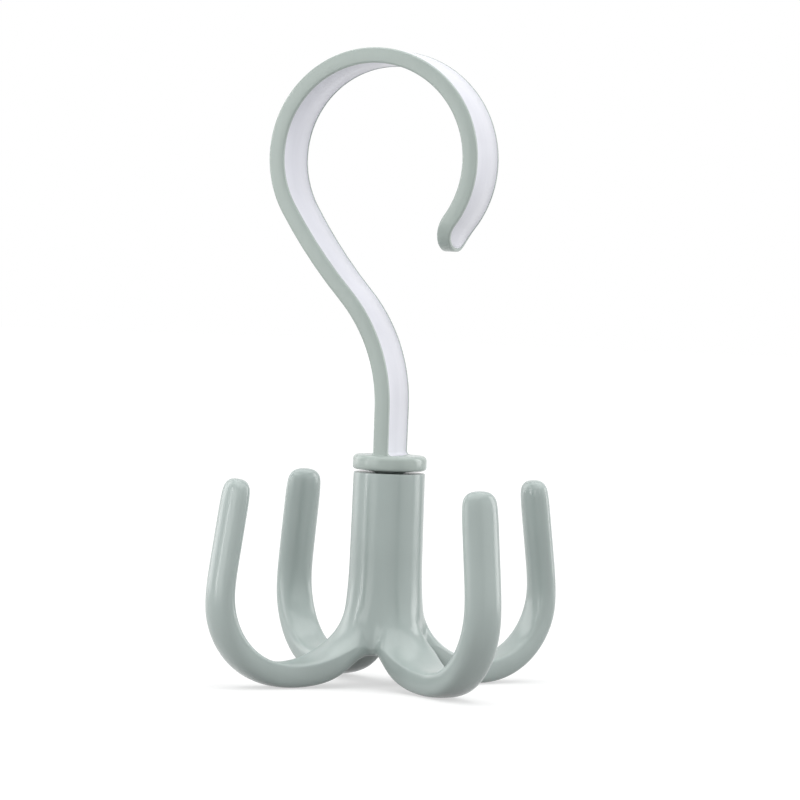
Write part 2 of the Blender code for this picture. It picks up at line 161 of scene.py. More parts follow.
class SwivelSizes(bpy.types.PropertyGroup):
    flange_radius: length("Flange radius", "Radius of the round flange under the band", 0.00815)
    flange_thickness: length("Flange thickness", "Thickness of the round flange", 0.0033)
    top_round: length("Top round", "Radius of the flange's upper edge", 0.0011)
    bottom_round: length("Bottom round", "Radius of the flange's lower edge", 0.0007)
    boss_radius: length("Boss radius", "Radius of the low boss that the barrel turns against", 0.0047)
    boss_height: length("Boss height", "Height of the low boss", 0.0003)
    pin_radius: length("Pin radius", "Radius of the swivel pin", 0.0032)
    seat_gap: length("Running gap", "Gap between the pin and what it turns in", 0.0003)
    neck_length: length("Neck length", "Length of the barrel's neck that the pin snaps through", 0.0030)
    barb_overhang: length("Barb overhang", "How far the pin's barbs reach under the neck", 0.0010)
    barb_lip: length("Barb lip", "Height of the barbs' straight edge", 0.0007)
    barb_length: length("Barb length", "Length of the barbed head", 0.0042)
    nose_radius: length("Nose radius", "Radius of the barbed head's flat end", 0.0026)
    slot_width: length("Slot width", "Width of the two slots that let the barbs spring", 0.0018)
    slot_depth: length("Slot depth", "Depth of the two slots", 0.0062)
    sides: steps("Sides", "Sides of the turned forms", 96)


class BaseSizes(bpy.types.PropertyGroup):
    barrel_top_radius: length("Barrel top radius", "Radius of the barrel under the flange", 0.0079)
    barrel_foot_radius: length("Barrel foot radius", "Radius of the barrel at its foot", 0.0082)
    barrel_height: length("Barrel height", "Height of the barrel", 0.0400)
    barrel_edge: length("Barrel edge", "Distance that keeps the barrel's upper edge tight", 0.0004)
    bore_top_radius: length("Bore top radius", "Radius of the bore under the neck", 0.0053)
    bore_foot_radius: length("Bore foot radius", "Radius of the bore at the barrel's foot", 0.0057)
    neck_chamfer: length("Neck chamfer", "Chamfer that leads the pin into the neck", 0.0004)
    rest_turn: angle("Rest turn", "How far the first claw is turned from +X", -39.4)
    claw_width: length("Claw width", "Width of each claw across its J", 0.0086)
    claw_thickness: length("Claw thickness", "Thickness of each claw in the J's plane", 0.0054)
    # The span and the drop are a little under the CAD's, so that the finer mesh stays inside the CAD's
    # box
    claw_span: length("Claw span", "Distance over two opposite claws", 0.0881)
    inner_arc: length("Inner arc", "Inner radius of the claw's curve", 0.0140)
    claw_drop: length(
        "Claw drop", "Height from the barrel's top down to the claws' lowest points", 0.04699
    )
    claw_rise: length("Claw rise", "Height from the claws' lowest points up to their tips", 0.0455)
    claw_lean: angle("Claw lean", "Lean of the claws towards the barrel", 8.3)
    tip_dome: length("Tip dome", "Length of each claw's rounded end", 0.0030)
    root_half_width: length(
        "Root half width", "Half of the claw's width where it leaves the barrel", 0.0066
    )
    root_crown: number(
        "Root crown", "How far the claw's upper face falls off to its sides at the root", 0.46
    )
    saddle_edge: length(
        "Saddle edge", "Height above the barrel's foot of the edge between two claws", 0.0017
    )
    root_flare: length("Root flare", "How far the barrel swells above each claw", 0.0008)
    corner_flare: length(
        "Corner flare", "How far the claws' corners stand out where they leave the barrel", 0.0012
    )
    saddle_flare: length("Saddle flare", "How far the edge between two claws stands out", 0.0008)
    saddle_foot: length("Saddle foot", "How far the barrel's foot rises between two claws", 0.0001)
    root_fillet: length("Root fillet", "Radius between the barrel and the claw's upper face", 0.0166)
    root_turn: angle("Root turn", "Turn of the upper fillet that the claw's sections cover", 60.0)
    root_top_turn: angle("Root top turn", "Turn of the whole upper fillet", 75.0)
    underside_arc: length(
        "Underside arc", "Radius of the claw's lower curve towards the barrel", 0.01417
    )
    underside_shift: length(
        "Underside shift", "How much nearer the barrel that curve's centre lies", 0.00323
    )
    underside_turn: angle("Underside turn", "Turn of the claw's lower curve to the barrel", 55.0)
    root_spread: angle("Root spread", "How far the barrel's columns give way to the claws", 10.0)
    inner_power: number("Inner power", "Higher makes the claw's inner face boxier at the root", 6.0)
    outer_power: number("Outer power", "Higher makes the claw's outer face boxier at the root", 4.2)
    tip_power: number("Tip power", "Higher makes the claw's section boxier at the tip", 2.05)
    edge_crease: number("Edge crease", "How crisp the claws' upper edges are at the barrel", 0.8)
    creased_sections: steps("Creased sections", "How many sections the crisp edges fade over", 6)
    smoothing: steps("Smoothing", "Subdivision levels that round the base off", 3)


class FinishColours(bpy.types.PropertyGroup):
    sage_hook: colour("Sage of the hook", "Colour of the band's rim and the flange", "#A5B0AB")
    # The base's sage is the hook's sage a shade darker: painted shade for the lower, less lit barrel
    # and claws
    sage_base_painted_shade: colour("Sage of the base", "Colour of the barrel and the claws", "#A3AEAB")
    # The broad faces' near-white is a painted highlight: it stands in for the strong side light and its
    # reflection on them
    painted_highlight_core: colour("Pale core", "Colour of the band's broad faces", "#D6D7DF")


class StageSettings(bpy.types.PropertyGroup):
    azimuth: angle("Camera azimuth", "Where the camera stands, from -Y towards +X", 20.0)
    distance: length("Camera distance", "Distance of the camera from the swivel axis", 0.846)
    below_seat: length("Camera below seat", "How far the camera stands below the rod seat", 0.04478)
    roll: angle("Camera roll", "Turn of the picture", 2.2)
    look_down: angle("Look down", "How far the camera looks down", 1.953)
    look_right: angle("Look right", "How far the camera looks past the axis", 0.0425)
    lens: bpy.props.FloatProperty(name="Lens", description="Focal length", default=172.9, unit="CAMERA")
    ambient: number("Ambient", "Light that comes from all round, 1 for a white room", 0.51)


# Modelling

def deselect_all():
    if bpy.context.object and bpy.context.object.mode != "OBJECT":
        bpy.ops.object.mode_set(mode="OBJECT")
    bpy.ops.object.select_all(action="DESELECT")


def take_up(piece):
    """Makes a piece the only selected and active object."""
    deselect_all()
    piece.select_set(True)
    bpy.context.view_layer.objects.active = piece


def start(name, add, **settings):
    """Adds a primitive under a name, with its place in its mesh, and opens it for editing."""
    deselect_all()
    add(**settings)
    piece = bpy.context.object
    piece.name = piece.data.name = name
    bpy.ops.object.transform_apply(location=True, rotation=True, scale=True)
    bpy.ops.object.mode_set(mode="EDIT")
    return piece


def pick(piece, kind, wanted):
    """Selects the vertices, edges or faces that are wanted, and nothing else."""
    bpy.ops.mesh.select_mode(type=kind)
    bpy.ops.mesh.select_all(action="DESELECT")
    mesh = bmesh.from_edit_mesh(piece.data)
    for part in {"VERT": mesh.verts, "EDGE": mesh.edges, "FACE": mesh.faces}[kind]:
        if wanted(part):
            part.select_set(True)
    mesh.select_flush_mode()
    bmesh.update_edit_mesh(piece.data)


def at_height(height):
    """Tells whether all of a vertex, edge or face lies at this height."""
    def test(part):
        corners = part.verts if hasattr(part, "verts") else [part]
        return all(abs(v.co.z - height) < TOUCH for v in corners)
    return test


def is_sharp(edge, from_degrees=SHARP):
    return edge.is_manifold and edge.calc_face_angle() > math.radians(from_degrees)


def make_solid_outside():
    bpy.ops.mesh.select_all(action="SELECT")
    bpy.ops.mesh.normals_make_consistent(inside=False)


def apply_modifier(piece, kind, **settings):
    take_up(piece)
    step = piece.modifiers.new(kind.lower(), kind)
    for key, value in settings.items():
        setattr(step, key, value)
    bpy.ops.object.modifier_apply(modifier=step.name)


def cut(piece, cutter):
    apply_modifier(piece, "BOOLEAN", operation="DIFFERENCE", solver="EXACT", object=cutter)
    bpy.data.objects.remove(cutter)


def finish_piece(piece, finish, body, node):
    take_up(piece)
    bpy.ops.object.shade_smooth_by_angle(angle=math.radians(SHADED_SHARP))
    piece.data.materials.clear()
    piece.data.materials.append(finish)
    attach(piece, body)
    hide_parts(node)


# The band's path, walked from the flange up round the loop to the tip

# Where the rings of the fillet at the band's foot lie, as shares of its radius
FOOT_RINGS = (0.0, 0.08, 0.3, 0.6, 1.0)
# Segments of the bevels along the strip's edges and along the joint between the sage rim and the broad
# faces' painted highlight
EDGE_SEGMENTS, JOINT_SEGMENTS = 4, 2


def right_of(heading):
    return Vector((math.cos(heading), 0, -math.sin(heading)))


def ahead_of(heading):
    return Vector((math.sin(heading), 0, math.cos(heading)))


def band_stretches(band):
    """(length, turn) of each stretch of the band's middle line. A turn to the right is positive."""
    loop = band.loop_radius + band.thickness / 2
    loop_turn = math.pi + band.s_turn - band.ease_turn + band.tip_turn
    return [
        (band.stem_length, 0.0),
        (band.s_radius * band.s_turn, -band.s_turn),
        (band.ease_radius * band.ease_turn, band.ease_turn),
        (loop * loop_turn, loop_turn),
        (band.tip_radius * band.tip_turn, -band.tip_turn),
        (band.tip_straight, 0.0),
    ]


def walk_band(band, foot, distance):
    """(point, heading) at a distance along the band's middle line."""
    point, heading = foot.copy(), 0.0
    stretches = band_stretches(band)
    for index, (stretch, turn) in enumerate(stretches):
        part = distance if index == len(stretches) - 1 or distance < stretch else stretch
        if turn:
            radius = stretch / turn
            centre = point + radius * right_of(heading)
            heading += part / radius
            point = centre - radius * right_of(heading)
        else:
            point = point + part * ahead_of(heading)
        distance -= part
        if distance <= 0:
            break
    return point, heading


def band_rings(band):
    """(distance, half depth, thickness) of each ring, closest together at the tip and the foot."""
    stops = [band.foot_fillet * share for share in FOOT_RINGS]
    passed = 0.0
    for stretch, turn in band_stretches(band):
        count = max(2, math.ceil(abs(turn) / band.ring_step))
        stops += [passed + stretch * (i + 1) / count for i in range(count)]
        passed += stretch
    to_loop = sum(stretch for stretch, turn in band_stretches(band)[:3])
    corner = passed - band.tip_corner
    # The bends' rings stop short of the tip's corners, which have rings of their own
    clear = band.foot_fillet / 4
    rings = [(-band.foot_fillet, 0.0)]
    rings += [(stop, 0.0) for stop in stops if stop < corner - clear]
    quarter = math.pi / 2
    turns = [quarter * i / band.corner_rings for i in range(band.corner_rings + 1)]
    rings += [(corner + band.tip_corner * math.sin(turn), turn) for turn in turns]
    sized = []
    for distance, turn in sorted(rings):
        share = min(1.0, max(0.0, distance / to_loop))
        depth = band.depth_at_stem + (band.depth_at_loop - band.depth_at_stem) * share
        half = depth / 2 - band.tip_corner * (1 - math.cos(turn))
        rest = min(band.foot_fillet, max(0.0, band.foot_fillet - distance))
        flare = band.foot_fillet - math.sqrt(band.foot_fillet**2 - rest**2)
        sized.append((distance, half, band.thickness + 2 * flare))
    return sized


def sweep_band(band, foot):
    """A flat strip, extruded ring by ring along the path and turned and widened at each ring."""
    rings = band_rings(band)
    distance, half, thick = rings[0]
    here, heading = walk_band(band, foot, distance)
    piece = start("band_rim", bpy.ops.mesh.primitive_plane_add, size=1.0, location=here)
    bpy.ops.mesh.select_all(action="SELECT")
    bpy.ops.transform.resize(value=(thick, 2 * half, 1.0), center_override=here)
    for distance, next_half, next_thick in rings[1:]:
        there, next_heading = walk_band(band, foot, distance)
        bpy.ops.mesh.extrude_region_move(TRANSFORM_OT_translate={"value": there - here})
        bpy.ops.transform.rotate(value=heading - next_heading, orient_axis="Y", center_override=there)
        stretch = (next_thick / thick, next_half / half, 1.0)
        bpy.ops.transform.resize(value=stretch, center_override=there)
        here, heading, half, thick = there, next_heading, next_half, next_thick
    return piece


def thin_tip(piece, band, foot):
    """Draws the outer face in towards the end of the tip, ring by ring."""
    end = sum(stretch for stretch, turn in band_stretches(band))
    for distance, half, thick in band_rings(band):
        share = 1 - (end - distance) / band.tip_thinned
        if share <= 0:
            continue
        point, heading = walk_band(band, foot, distance)
        outer = point - right_of(heading) * thick / 2
        pick(piece, "VERT", lambda v: (Vector((v.co.x, 0, v.co.z)) - outer).length < WELD)
        inwards = band.tip_thinning * (3 * share**2 - 2 * share**3)
        bpy.ops.transform.translate(value=right_of(heading) * inwards)


def split_band(piece, band, foot):
    """Insets the two broad faces, parts them from the rim as the core, and walls both up."""
    end = walk_band(band, foot, sum(stretch for stretch, turn in band_stretches(band)))[0]
    foot_height = foot.z - band.foot_fillet
    pick(piece, "FACE", at_height(foot_height))
    bpy.ops.mesh.delete(type="FACE")

    def is_broad(face):
        sides = [v.co.y for v in face.verts]
        is_end = (face.calc_center_median() - end).length < band.thickness / 4
        return min(sides) < 0 < max(sides) and not is_end

    pick(piece, "FACE", is_broad)
    bpy.ops.mesh.inset(thickness=band.rim_depth, use_boundary=False, use_even_offset=True)
    before = set(bpy.data.objects)
    bpy.ops.mesh.separate(type="SELECTED")
    core = (set(bpy.data.objects) - before).pop()
    core.name = core.data.name = "band_core"

    on_flange, foot_edge = at_height(foot.z), at_height(foot_height)
    pick(piece, "EDGE", lambda e: is_sharp(e) and not on_flange(e))
    bpy.ops.mesh.bevel(offset=band.edge_round, segments=EDGE_SEGMENTS)
    pick(piece, "EDGE", lambda e: e.is_boundary and not foot_edge(e))
    bpy.ops.mesh.bridge_edge_loops()
    pick(piece, "EDGE", lambda e: is_sharp(e, WALL_SHARP) and not on_flange(e))
    bpy.ops.mesh.bevel(offset=band.joint_round, segments=JOINT_SEGMENTS)
    bpy.ops.mesh.select_all(action="SELECT")
    bpy.ops.mesh.fill_holes(sides=0)
    make_solid_outside()

    take_up(core)
    bpy.ops.object.mode_set(mode="EDIT")
    bpy.ops.mesh.select_all(action="SELECT")
    bpy.ops.mesh.bisect(plane_co=(0, 0, 0), plane_no=(0, 1, 0))
    pick(core, "VERT", lambda v: v.is_boundary and abs(v.co.y) > TOUCH)
    bpy.ops.transform.shrink_fatten(value=-band.core_dip)
    pick(core, "EDGE", lambda e: all(abs(v.co.y) < TOUCH for v in e.verts))
    bpy.ops.mesh.mark_sharp()
    pick(core, "EDGE", lambda e: e.is_boundary)
    bpy.ops.mesh.bridge_edge_loops()
    pick(core, "EDGE", lambda e: is_sharp(e, WALL_SHARP))
    bpy.ops.mesh.bevel(offset=band.joint_round, segments=JOINT_SEGMENTS)
    make_solid_outside()
    return core


# The flange and the swivel pin under it

# Segments of the bevels round the flange's top, round its foot, and on the pin and its slots
FLANGE_TOP_SEGMENTS, FLANGE_FOOT_SEGMENTS, PIN_SEGMENTS = 5, 4, 2


def model_pin(pin, foot):
    """The flange as a disc, with the boss, the pin and the barbed head drawn out of its underside."""
    thick = pin.flange_thickness
    axis = Vector((foot.x, foot.y, 0.0))
    piece = start("swivel_pin", bpy.ops.mesh.primitive_cylinder_add, vertices=pin.sides,
                  radius=pin.flange_radius, depth=thick, location=foot - Vector((0, 0, thick / 2)))
    pick(piece, "EDGE", at_height(foot.z))
    bpy.ops.mesh.bevel(offset=pin.top_round, segments=FLANGE_TOP_SEGMENTS)
    under = foot.z - thick
    pick(piece, "EDGE", at_height(under))
    bpy.ops.mesh.bevel(offset=pin.bottom_round, segments=FLANGE_FOOT_SEGMENTS)
    neck_foot = under - pin.boss_height - pin.seat_gap - pin.neck_length
    barb_top = neck_foot - pin.seat_gap
    barb_radius = pin.pin_radius + pin.seat_gap + pin.barb_overhang
    pick(piece, "FACE", at_height(under))
    radius = pin.flange_radius - pin.bottom_round
    # (radius, way down) of each step from the flange's underside to the head's flat end
    moves = [
        (pin.boss_radius, 0.0), (pin.boss_radius, pin.boss_height), (pin.pin_radius, 0.0),
        (pin.pin_radius, under - pin.boss_height - barb_top), (barb_radius, 0.0),
        (barb_radius, pin.barb_lip), (pin.nose_radius, pin.barb_length - pin.barb_lip),
    ]
    height = under
    for next_radius, down in moves:
        height -= down
        bpy.ops.mesh.extrude_region_move(TRANSFORM_OT_translate={"value": (0, 0, -down)})
        wider = next_radius / radius
        centre = axis + Vector((0, 0, height))
        bpy.ops.transform.resize(value=(wider, wider, 1.0), center_override=centre)
        radius = next_radius

    def is_step(edge):
        level = edge.verts[0].co.z
        return is_sharp(edge) and at_height(level)(edge) and level < under - TOUCH

    pick(piece, "EDGE", is_step)
    bpy.ops.mesh.bevel(offset=pin.boss_height / 3, segments=PIN_SEGMENTS)
    make_solid_outside()
    bottom = barb_top - pin.barb_length
    middle = Vector((foot.x, 0, bottom + pin.slot_depth / 2 - pin.seat_gap))
    long, wide, deep = 2 * pin.flange_radius, pin.slot_width, pin.slot_depth + 2 * pin.seat_gap
    for size in ((long, wide, deep), (wide, long, deep)):
        slot = start("prong_slot", bpy.ops.mesh.primitive_cube_add, size=1.0, location=middle)
        bpy.ops.mesh.select_all(action="SELECT")
        bpy.ops.transform.resize(value=size, center_override=middle)
        pick(slot, "EDGE", at_height(middle.z + pin.slot_depth / 2 + pin.seat_gap))
        bpy.ops.mesh.bevel(offset=pin.seat_gap, segments=PIN_SEGMENTS)
        cut(piece, slot)
    return piece


# The base: a barrel and four claws, from a coarse cage that subdivision rounds off

CLAWS = 4
# Columns of the barrel's cage, 15 degrees apart, and points round a claw's cross-section
COLUMNS = 24
SECTION_POINTS = 12
# The two points of a cross-section where its inner face meets its sides
UPPER_CORNERS = (0, 4)
# The cross-sections on the claw's way to the barrel, from the root outwards: shares of the root's turn,
# of what it is wider than the claw, and of its crown
ROOT_SECTIONS = ((1.0, 1.0, 1.0), (2 / 3, 0.85, 0.4), (1 / 3, 0.38, 0.12))
# Steps round the claw's curve
CURVE_STEPS = 5
# The last two cross-sections: how far the first lies from the tip, as a share of the dome, and scales
SHOULDER_SHARE, SHOULDER_SCALE, TIP_SCALE = 0.40, 0.85, 0.46
# The saddle: degrees from the claw's middle at which it starts, degrees that it rises over, steepness
SADDLE_START, SADDLE_REACH, SADDLE_POWER = 5, 24, 1.5
# A point of the cage is on the barrel's skin beyond this share of its radius
ON_SKIN = 0.9
# Degrees from the claw's middle that lie between two columns: past the quarter's edge at 45, and past
# the faces of the root, which end at 30
PAST_QUARTER, PAST_ROOT = 46, 34


def round_boost(step):
    """What one subdivision takes off a round form with a vertex at each step of this angle."""
    return 8 / (6 + 2 * math.cos(step))


def barrel_radius(base, height):
    share = min(1.0, -height / base.barrel_height)
    return base.barrel_top_radius + (base.barrel_foot_radius - base.barrel_top_radius) * share


def on_arc(centre, radius, turn):
    """The (radius, height) point at this turn from straight down, outwards for a positive turn."""
    return centre[0] + radius * math.sin(turn), centre[1] - radius * math.cos(turn)


def claw_sections(base):
    """(inner point, outer point, half width, powers, crown) of each cross-section, root to tip."""
    inner_arc, outer_arc = base.inner_arc, base.inner_arc + base.claw_thickness
    centre = (base.claw_span / 2 - outer_arc, outer_arc - base.claw_drop)
    root_centre = (centre[0], centre[1] - inner_arc + base.root_fillet)
    half = base.claw_width / 2
    sections = []
    boost = round_boost(base.root_turn / len(ROOT_SECTIONS))
    under = (centre[0] - base.underside_shift, base.underside_arc - base.claw_drop)
    for share, widening, crown in ROOT_SECTIONS:
        inner = on_arc(root_centre, base.root_fillet * boost, -base.root_turn * share)
        outer = on_arc(under, base.underside_arc * boost, -base.underside_turn * share)
        width = half + (base.root_half_width - half) * widening
        powers = (base.inner_power, base.outer_power)
        sections.append((inner, outer, width, powers, base.root_crown * crown))
    arc_end = math.pi / 2 + base.claw_lean
    for i in range(CURVE_STEPS + 1):
        share = i / CURVE_STEPS
        turn = arc_end * i / CURVE_STEPS
        boost = round_boost(arc_end / CURVE_STEPS) if i < CURVE_STEPS else 1.0
        powers = (base.inner_power + (base.tip_power - base.inner_power) * share ** 2,
                  base.tip_power + (base.outer_power - base.tip_power) * (1 - share) ** 2)
        inner = on_arc(centre, inner_arc * boost, turn)
        outer = on_arc(centre, outer_arc * boost, turn)
        sections.append((inner, outer, half, powers, 0.0))
    along = (-math.sin(base.claw_lean), math.cos(base.claw_lean))
    inner, outer, half, powers, crown = sections[-1]
    straight = (base.claw_rise - base.claw_drop - (inner[1] + outer[1]) / 2) / along[1]
    upright = straight - base.tip_dome
    ends = [(upright / 3, 1.0), (upright * 2 / 3, 1.0), (upright, 1.0)]
    ends += [(straight - base.tip_dome * SHOULDER_SHARE, SHOULDER_SCALE), (straight, TIP_SCALE)]
    for reach, scale in ends:
        middle = [(a + b) / 2 for a, b in zip(inner, outer)]
        pair = [tuple(m + (p - m) * scale + d * reach for p, m, d in zip(side, middle, along))
                for side in (inner, outer)]
        sections.append((*pair, half * scale, powers, crown))
    return sections


def section_points(section):
    """Twelve points round a cross-section: five on the inner face, five on the outer, one each side."""
    inner, outer, half, powers, crown = section
    middle = [(a + b) / 2 for a, b in zip(inner, outer)]
    up = [(a - b) / 2 for a, b in zip(inner, outer)]
    points = []
    step, on_one_side = math.radians(360 / SECTION_POINTS), SECTION_POINTS // 2
    for i in range(SECTION_POINTS):
        turn = step * (on_one_side - 1 - i)
        cos, sin = math.cos(turn), math.sin(turn)
        power = powers[0] if i < on_one_side else powers[1]
        side = round_boost(step) * math.copysign(abs(cos) ** (2 / power), cos)
        rise = round_boost(step) * math.copysign(abs(sin) ** (2 / power), sin)
        rise -= crown * abs(side) * (rise + 1)
        points.append(Vector((middle[0] + up[0] * rise, half * side, middle[1] + up[1] * rise)))
    return points


def model_barrel_quarter(base):
    """A quarter of the barrel's cage: a cylinder, inset at its ends and cut at each ring."""
    height = base.barrel_height
    piece = start("barrel_and_claws", bpy.ops.mesh.primitive_cylinder_add, vertices=COLUMNS,
                  radius=base.barrel_foot_radius, depth=height, end_fill_type="TRIFAN",
                  location=(0, 0, -height / 2))
    pick(piece, "FACE", at_height(0.0))
    bpy.ops.mesh.inset(thickness=base.barrel_edge)
    pick(piece, "FACE", at_height(-height))
    bpy.ops.mesh.inset(thickness=(base.barrel_foot_radius - base.bore_foot_radius) * 2 / 3)
    root_start = base.root_fillet - base.claw_drop + base.claw_thickness
    root_top = root_start - base.root_fillet * math.cos(base.root_top_turn)
    root_middle = (root_top - height) / 2
    plain_levels = (-base.barrel_edge, root_start / 3, root_start * 2 / 3, root_start)
    for level in (*plain_levels, root_top, root_middle):
        bpy.ops.mesh.select_all(action="SELECT")
        bpy.ops.mesh.bisect(plane_co=(0, 0, level), plane_no=(0, 0, 1))

    def off_middle(point):
        """Degrees between this point and the middle of the quarter's claw."""
        return abs(math.degrees(math.atan2(point.y, point.x)))

    pick(piece, "VERT", lambda v: v.co.xy.length > WELD and off_middle(v.co) > PAST_QUARTER)
    bpy.ops.mesh.delete(type="VERT")

    def at_root(face):
        """Tells whether a face lies where the claw grows out of the barrel."""
        middle = face.calc_center_median()
        on_side = middle.xy.length > base.barrel_foot_radius * ON_SKIN and abs(face.normal.z) < 0.5
        return on_side and middle.z < root_top and off_middle(middle) < PAST_ROOT

    pick(piece, "FACE", at_root)
    bpy.ops.mesh.dissolve_faces()
    mesh = bmesh.from_edit_mesh(piece.data)
    boost = round_boost(2 * math.pi / COLUMNS)
    # (level at the claw, rise over the barrel's foot between claws, share of the flares) of each row
    rows = ((root_top, base.saddle_edge, 1.0), (root_middle, base.saddle_edge * 0.56, 0.7),
            (-height, base.saddle_foot, 0.3))
    # How far each column of the root stands out, by its degrees from the claw's middle
    flares = {0: base.root_flare, 15: base.root_flare, 30: base.corner_flare, 45: base.saddle_flare}
    for vert in mesh.verts:
        if vert.co.xy.length < WELD:
            continue
        share, turn = vert.co.xy.length / base.barrel_foot_radius, math.atan2(vert.co.y, vert.co.x)
        off = abs(math.degrees(turn))
        between = min(1.0, max(0.0, (off - SADDLE_START) / SADDLE_REACH)) ** SADDLE_POWER
        depth, flare = vert.co.z, 0.0
        spread = 0.0 if depth > root_top + TOUCH else base.root_spread
        for level, rise, flare_share in rows:
            # Only the skin's own points, and not those of the foot's inset ring
            if abs(vert.co.z - level) < TOUCH and share > 0.99:
                depth += (rise - height - level) * between
                flare = flare_share * flares[round(off)]
        turn += spread * math.sin(CLAWS * turn)
        radius = barrel_radius(base, depth) * share * boost + flare
        vert.co = (radius * math.cos(turn), radius * math.sin(turn), depth)
    bmesh.update_edit_mesh(piece.data)
    return piece


def draw_out_claw(piece, base):
    """One claw: the face at its root, extruded through each cross-section, with its edges creased."""
    mesh = bmesh.from_edit_mesh(piece.data)
    root = [f for f in mesh.faces if f.select][0]
    places = [v.co.copy() for v in root.verts]
    left = sorted(places, key=lambda p: p.y)[:3]
    first = places.index(max(left, key=lambda p: p.z))
    places = places[first:] + places[:first]
    if places[1] in left:
        places = places[:1] + places[:0:-1]
    corners = [[places[i] for i in UPPER_CORNERS]]
    for section in claw_sections(base):
        bpy.ops.mesh.extrude_region_move()
        mesh = bmesh.from_edit_mesh(piece.data)
        following = section_points(section)
        for vert in [v for v in mesh.verts if v.select]:
            nearest = min(range(len(places)), key=lambda i: (places[i] - vert.co).length)
            vert.co = following[nearest]
        bmesh.update_edit_mesh(piece.data)
        places = following
        corners.append([places[i] for i in UPPER_CORNERS])
    edge = base.saddle_edge - base.barrel_height

    def at_saddle(line):
        return at_height(edge)(line) and all(
            v.co.xy.length > base.barrel_foot_radius * ON_SKIN for v in line.verts
        )

    pick(piece, "EDGE", at_saddle)
    bpy.ops.transform.edge_crease(value=base.edge_crease)
    for i in range(base.creased_sections):
        ends = list(zip(corners[i], corners[i + 1]))

        def on_corner(line):
            a, b = [v.co for v in line.verts]
            return any(
                min((a - p).length + (b - q).length, (a - q).length + (b - p).length) < TOUCH
                for p, q in ends
            )

        pick(piece, "EDGE", on_corner)
        bpy.ops.transform.edge_crease(value=base.edge_crease * (1 - i / base.creased_sections))


def repeat_quarter():
    """Copies the quarter three times round the axis and welds the four together."""
    bpy.ops.mesh.select_all(action="SELECT")
    for copy in range(CLAWS - 1):
        bpy.ops.mesh.duplicate()
        bpy.ops.transform.rotate(value=2 * math.pi / CLAWS, orient_axis="Z", center_override=(0, 0, 0))
    bpy.ops.mesh.select_all(action="SELECT")
    bpy.ops.mesh.remove_doubles(threshold=WELD)
    make_solid_outside()


def bore_out(piece, base, pin):
    """Cuts the bore: wide from the foot up, then the neck for the pin, chamfered at its mouth."""
    depth = base.barrel_height + OVERRUN - pin.neck_length
    middle = -(base.barrel_height + OVERRUN + pin.neck_length) / 2
    cutter = start("swivel_bore", bpy.ops.mesh.primitive_cylinder_add, vertices=pin.sides,
                   radius=base.bore_foot_radius, depth=depth, location=(0, 0, middle))
    neck = pin.pin_radius + pin.seat_gap
    pick(cutter, "FACE", at_height(-pin.neck_length))
    narrower = base.bore_top_radius / base.bore_foot_radius
    centre = (0, 0, -pin.neck_length)
    bpy.ops.transform.resize(value=(narrower, narrower, 1.0), center_override=centre)
    bpy.ops.mesh.inset(thickness=base.bore_top_radius - neck)
    for rise, radius, last in (
        (pin.neck_length - base.neck_chamfer, neck, neck),
        (base.neck_chamfer + OVERRUN, neck + base.neck_chamfer + OVERRUN, neck),
    ):
        bpy.ops.mesh.extrude_region_move(TRANSFORM_OT_translate={"value": (0, 0, rise)})
        bpy.ops.transform.resize(value=(radius / last, radius / last, 1.0), center_override=(0, 0, 0))
    make_solid_outside()
    cut(piece, cutter)


# Materials

# Polypropylene's index of refraction, and (roughness, waviness) of the sage and of the pale skin, the
# broad faces painted near-white as a highlight
PLASTIC_IOR = 1.49
SAGE_SKIN = (0.21, 0.10)
PALE_SKIN = (0.30, 0.06)
# The darkest and lightest that the pigment gets, and the least and most of the roughness
PIGMENT_SPREAD = (0.965, 1.03)
ROUGHNESS_SPREAD = (0.85, 1.2)
# How much the streaks weigh in the colour, beside the clouds
STREAK_WEIGHT = 0.45


def add_node(tree, kind, settings=None, **links):
    """Adds a node. Settings are its own values or its inputs' values, and links feed its inputs."""
    node = tree.nodes.new(kind)
    for key, value in (settings or {}).items():
        if hasattr(node, key):
            setattr(node, key, value)
        else:
            node.inputs[key].default_value = value
    for key, source in links.items():
        tree.links.new(source, node.inputs[key.replace("_", " ")])
    return node


